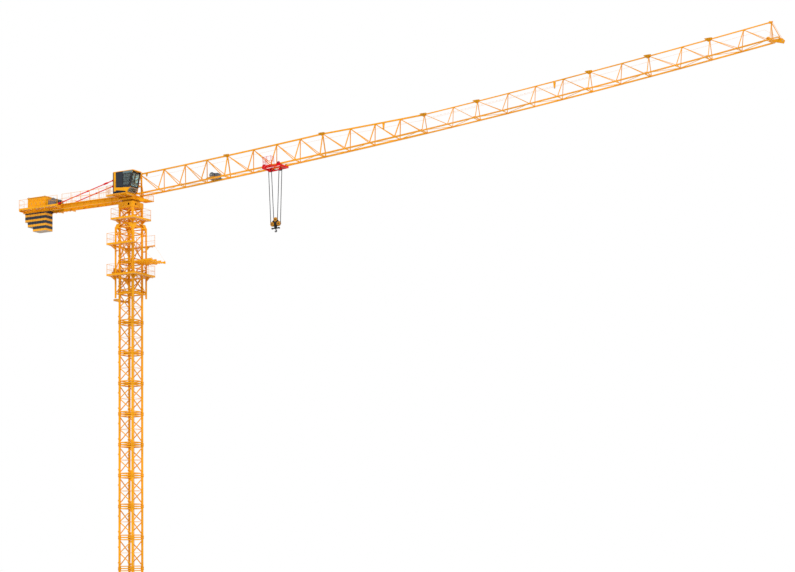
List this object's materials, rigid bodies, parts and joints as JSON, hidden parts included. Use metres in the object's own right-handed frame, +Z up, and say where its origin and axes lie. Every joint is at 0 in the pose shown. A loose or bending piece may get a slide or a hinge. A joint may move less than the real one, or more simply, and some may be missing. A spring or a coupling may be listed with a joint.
{
  "type": "tower crane, 1:2 scale model",
  "caption": "Self-climbing flat-top tower crane, 1:2 model: lattice mast on a cross base, climbing cage, cab, counter-jib with ballast, up-swept lattice jib, trolley and hook.",
  "frame": {"origin": "on the tower axis at ground level, on the underside of the foundation girder", "axes": "+X along the jib, +Z up the mast, the cab on the -Y side"},
  "size_m": [36.77, 1.868, 23.7741],
  "materials": {
    "base_paint": "gloss paint, weathered",
    "mast_paint": "gloss paint",
    "cage_paint": "gloss paint",
    "deck_paint": "painted chequer plate",
    "rail_paint": "gloss paint",
    "jack_paint": "oily dark paint",
    "support_paint": "gloss paint",
    "ring_steel": "greased steel",
    "machine_grey": "machine grey paint",
    "cab_paint": "gloss paint",
    "cab_glass": "tinted glass",
    "tie_red": "gloss paint",
    "cabinet_paint": "gloss paint",
    "ballast_paint": "striped paint on concrete",
    "jib_paint": "gloss paint",
    "trolley_red": "gloss paint",
    "wheel_steel": "worn steel",
    "rope_steel": "greased wire rope",
    "block_black": "black paint",
    "sheave_paint": "yellow paint",
    "hook_black": "forged, black"
  },
  "bodies": {
    "tower": {"foundation_girder": "base_paint", "foundation_half_girders": "base_paint", "base_struts": "base_paint", "mast_sections_odd": "mast_paint", "mast_sections_even": "mast_paint", "jack_rod": "jack_paint"},
    "climbing_frame": {"climbing_cage": "cage_paint", "cage_cross_frames": "cage_paint", "cage_platforms": "deck_paint", "cage_guard_rails": "rail_paint", "introduction_rails": "cage_paint", "introduction_cross_beams": "cage_paint", "jack_barrel": "jack_paint", "transition_section": "mast_paint", "support_platform": "deck_paint", "support_guard_rails": "rail_paint", "lower_slewing_support": "support_paint", "slewing_ring_outer": "ring_steel"},
    "slewing_top": {"slewing_ring_inner": "ring_steel", "turntable": "support_paint", "slewing_drives": "machine_grey", "tower_head": "support_paint", "cab_body": "cab_paint", "cab_glazing": "cab_glass", "cab_platform": "deck_paint", "front_balcony": "rail_paint", "counter_jib": "support_paint", "counter_jib_decks": "deck_paint", "counter_jib_guard_rails": "rail_paint", "tie_bars": "tie_red", "hoist_winch_frame": "machine_grey", "hoist_winch_drum": "machine_grey", "winch_cabinet": "cabinet_paint", "counterweight_slabs": "ballast_paint", "jib_section_1": "jib_paint", "jib_section_2": "jib_paint", "jib_section_3": "jib_paint", "jib_section_4": "jib_paint", "jib_section_5": "jib_paint", "jib_section_6": "jib_paint", "jib_section_7": "jib_paint", "jib_section_8": "jib_paint", "jib_nose": "jib_paint", "trolley_winch": "machine_grey"},
    "trolley": {"trolley_frame": "trolley_red", "trolley_wheels": "wheel_steel", "trolley_sheaves": "wheel_steel", "hoist_rope_falls": "rope_steel"},
    "hook_block": {"hook_block": "block_black", "hook_sheaves": "sheave_paint"},
    "hook": {"hook": "hook_black"}
  },
  "joints": [
    {"name": "climb", "type": "slide", "parent": "tower", "child": "climbing_frame", "axis": [0, 0, 1], "range_m": [0, 0.7]},
    {"name": "slew", "type": "hinge", "parent": "climbing_frame", "child": "slewing_top", "pos_m": [0, 0, 20.1], "axis": [0, 0, 1], "continuous": true},
    {"name": "trolley_travel", "type": "hinge", "parent": "slewing_top", "child": "trolley", "pos_m": [-21.455, 0, 444.85811], "axis": [0, -1, 0], "range_deg": [-0.75, 2.93]},
    {"name": "hoist", "type": "slide", "parent": "trolley", "child": "hook_block", "axis": [0, 0, 1], "range_m": [-17.3, 1.2], "deforming": ["hoist_rope_falls"]},
    {"name": "hook_swivel", "type": "hinge", "parent": "hook_block", "child": "hook", "pos_m": [7.85, 0, 18.1], "axis": [0, 0, 1], "continuous": true}
  ]
}
